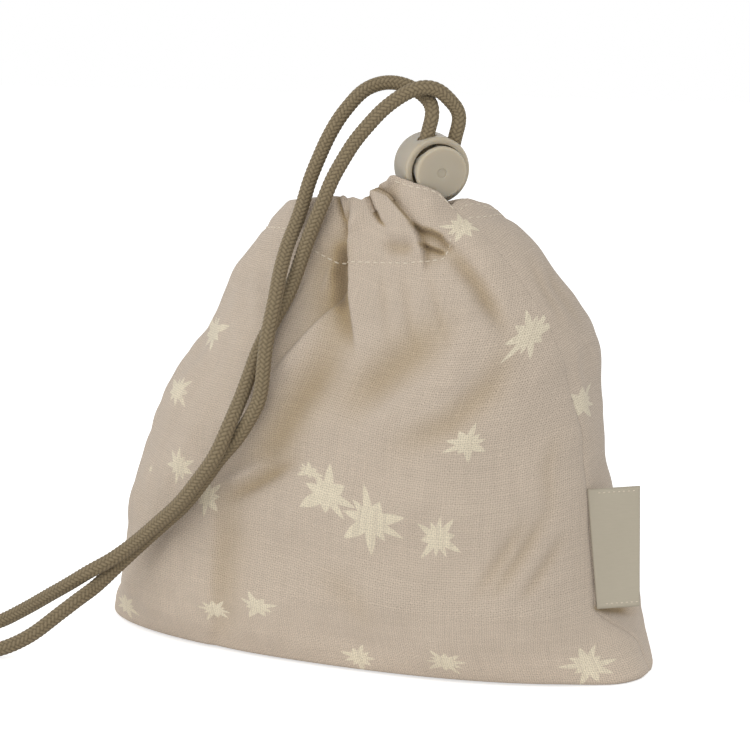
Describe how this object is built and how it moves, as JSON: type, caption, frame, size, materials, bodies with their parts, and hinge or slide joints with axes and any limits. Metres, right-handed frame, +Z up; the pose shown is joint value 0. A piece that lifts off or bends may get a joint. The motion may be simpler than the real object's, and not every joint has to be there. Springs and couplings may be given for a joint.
{
  "type": "drawstring pouch",
  "caption": "Soft printed cloth pouch gathered at the mouth by a braided cord in a casing, held by a sprung push-button cord lock, with a ribbon label in its side seam.",
  "frame": {"origin": "on the surface that the pouch stands on, at the middle of its base", "axes": "+X along the width towards the side seam with the label, -Y towards the front, +Z up"},
  "size_m": [0.2269, 0.1137, 0.1561],
  "materials": {
    "cloth": "thin plain-weave cotton, beige, with a scattered print of cream stars",
    "cord": "braided cotton cord, matt taupe",
    "plastic": "moulded, slightly translucent grey beige, satin gloss",
    "spring_steel": "drawn spring wire",
    "label": "satin ribbon, bare"
  },
  "bodies": {
    "root": {"front_panel": "cloth", "back_panel": "cloth", "drawstring_loop": "cord", "drawstring_tail_left": "cord", "drawstring_tail_right": "cord", "drawstring_knot": "cord"},
    "cord_lock": {"cord_lock_body": "plastic", "cord_lock_spring": "spring_steel"},
    "plunger": {"cord_lock_plunger": "plastic"},
    "label": {"side_label": "label"}
  },
  "joints": [
    {"name": "toggle_slide", "type": "slide", "parent": "root", "child": "cord_lock", "axis": [0.2286, 0.0663, 0.9713], "range_m": [0, 0.003]},
    {"name": "plunger_press", "type": "slide", "parent": "cord_lock", "child": "plunger", "axis": [-0.6972, 0.7075, 0.1158], "range_m": [0, 0.0025], "stiffness_N_per_m": 1000, "springref_m": -0.002, "deforming": ["cord_lock_spring"]},
    {"name": "label_flap", "type": "hinge", "parent": "root", "child": "label", "pos_m": [0.07271, -0.01358, 0.01989], "axis": [-0.1829, 0.2092, 0.9606], "range_deg": [-100, 45], "stiffness_Nm_per_rad": 0.0005}
  ]
}
